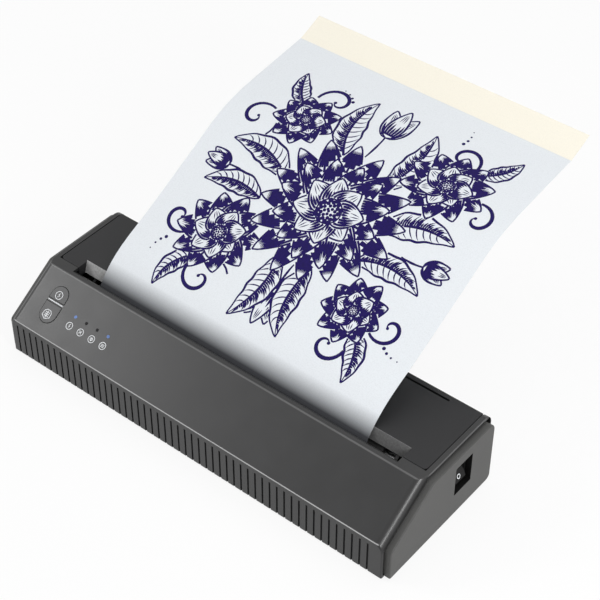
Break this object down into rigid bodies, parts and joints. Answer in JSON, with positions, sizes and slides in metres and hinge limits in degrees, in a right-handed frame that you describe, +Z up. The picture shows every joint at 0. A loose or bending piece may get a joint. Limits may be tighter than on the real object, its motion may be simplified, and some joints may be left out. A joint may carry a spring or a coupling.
{
  "type": "thermal stencil copier",
  "caption": "Slim desktop thermal stencil copier: ribbed wedge casing with sloped key panel, rear-hinged lid with platen roller, sprung print head, rocker switch, and a sheet in its front slot.",
  "frame": {"origin": "on the base's underside, midway along the machine and 50 mm behind its front wall; the rubber feet reach 1.5 mm below it", "axes": "+X along the machine to the switch end, +Y to the rear where the lid is hinged, +Z up"},
  "size_m": [0.3004, 0.2634, 0.1359],
  "materials": {
    "shell": "satin moulded",
    "lid": "fine textured",
    "cap": "satin moulded",
    "strip": "satin moulded",
    "dark_plastic": "moulded",
    "gloss_black": "gloss moulded",
    "button": "satin moulded",
    "print_white": "pad print",
    "lens_lit": "lit lens",
    "lens_dark": "unlit lens",
    "rubber": "matt",
    "steel": "brushed",
    "coated_steel": "black coated",
    "aluminium": "extruded",
    "gear": "acetal",
    "ceramic": "glazed",
    "board": "solder mask",
    "component": "moulded",
    "cell": "shrink sleeve",
    "sheet": "thin paper",
    "ink": "printed ink",
    "header": "glued paper strip"
  },
  "bodies": {
    "casing": {"top_shell": "shell", "bottom_shell": "dark_plastic", "base_posts": "dark_plastic", "left_end_cap": "cap", "right_end_cap": "cap", "hinge_pins": "steel", "gear_axles": "steel", "stepper_motor": "steel", "left_side_frame": "coated_steel", "right_side_frame": "coated_steel", "head_springs": "steel", "paper_guide": "dark_plastic", "exit_guide": "dark_plastic", "paper_sensor": "component", "main_board": "board", "main_board_parts": "component", "battery_cells": "cell", "port_board": "board", "power_jack": "dark_plastic", "usb_port": "steel", "separator_bar": "print_white", "control_board": "board", "tact_switches": "component", "lit_lamps": "lens_lit", "dark_lamps": "lens_dark", "switch_housing": "dark_plastic", "rocker_pin": "steel", "rubber_feet": "rubber", "case_screws": "steel", "frame_screws": "steel", "board_screws": "steel"},
    "lid": {"lid": "lid", "tear_strip": "strip", "platen_frame": "coated_steel", "platen_bushings": "dark_plastic"},
    "platen": {"platen_shaft": "steel", "platen_rubber": "rubber", "platen_gear": "gear"},
    "idler": {"idler_gear": "gear"},
    "compound": {"compound_gear": "gear"},
    "motor_rotor": {"motor_shaft": "steel", "motor_pinion": "gear"},
    "print_head": {"heat_sink": "aluminium", "thermal_head": "ceramic"},
    "sheet": {"stencil_sheet": "sheet", "sheet_header": "header"},
    "feed_key": {"feed_button": "button"},
    "power_key": {"power_button": "button"},
    "switch_rocker": {"rocker": "gloss_black"}
  },
  "joints": [
    {"name": "lid_hinge", "type": "hinge", "parent": "casing", "child": "lid", "pos_m": [0, 0.0466, 0.046], "axis": [-1, 0, 0], "range_deg": [0, 40]},
    {"name": "platen_spin", "type": "hinge", "parent": "lid", "child": "platen", "pos_m": [0, 0.002, 0.033], "axis": [1, 0, 0], "continuous": true},
    {"name": "idler_spin", "type": "hinge", "parent": "casing", "child": "idler", "pos_m": [0, 0.00581, 0.01994], "axis": [1, 0, 0], "continuous": true},
    {"name": "compound_spin", "type": "hinge", "parent": "casing", "child": "compound", "pos_m": [0, -0.006, 0.015], "axis": [1, 0, 0], "continuous": true},
    {"name": "motor_spin", "type": "hinge", "parent": "casing", "child": "motor_rotor", "pos_m": [0, -0.02197, 0.016], "axis": [1, 0, 0], "continuous": true},
    {"name": "head_float", "type": "slide", "parent": "casing", "child": "print_head", "axis": [0, 0, 1], "range_m": [-0.0008, 0], "stiffness_N_per_m": 2000, "springref_m": 0.003, "deforming": ["head_springs"]},
    {"name": "sheet_draw", "type": "slide", "parent": "lid", "child": "sheet", "axis": [0, 0.5736, 0.8192], "range_m": [0, 0.015]},
    {"name": "feed_press", "type": "slide", "parent": "casing", "child": "feed_key", "axis": [0, 0.5476, -0.8368], "range_m": [0, 0.0006], "stiffness_N_per_m": 400, "springref_m": -0.0015},
    {"name": "power_press", "type": "slide", "parent": "casing", "child": "power_key", "axis": [0, 0.5476, -0.8368], "range_m": [0, 0.0006], "stiffness_N_per_m": 400, "springref_m": -0.0015},
    {"name": "rocker_tilt", "type": "hinge", "parent": "casing", "child": "switch_rocker", "pos_m": [0.142, 0.0214, 0.0285], "axis": [0, 1, 0], "range_deg": [0, 16]}
  ],
  "couplings": [
    {"joint": "idler_spin", "follows": "platen_spin", "ratio": -0.7},
    {"joint": "compound_spin", "follows": "platen_spin", "ratio": 1.1667},
    {"joint": "motor_spin", "follows": "platen_spin", "ratio": -2.7222}
  ]
}
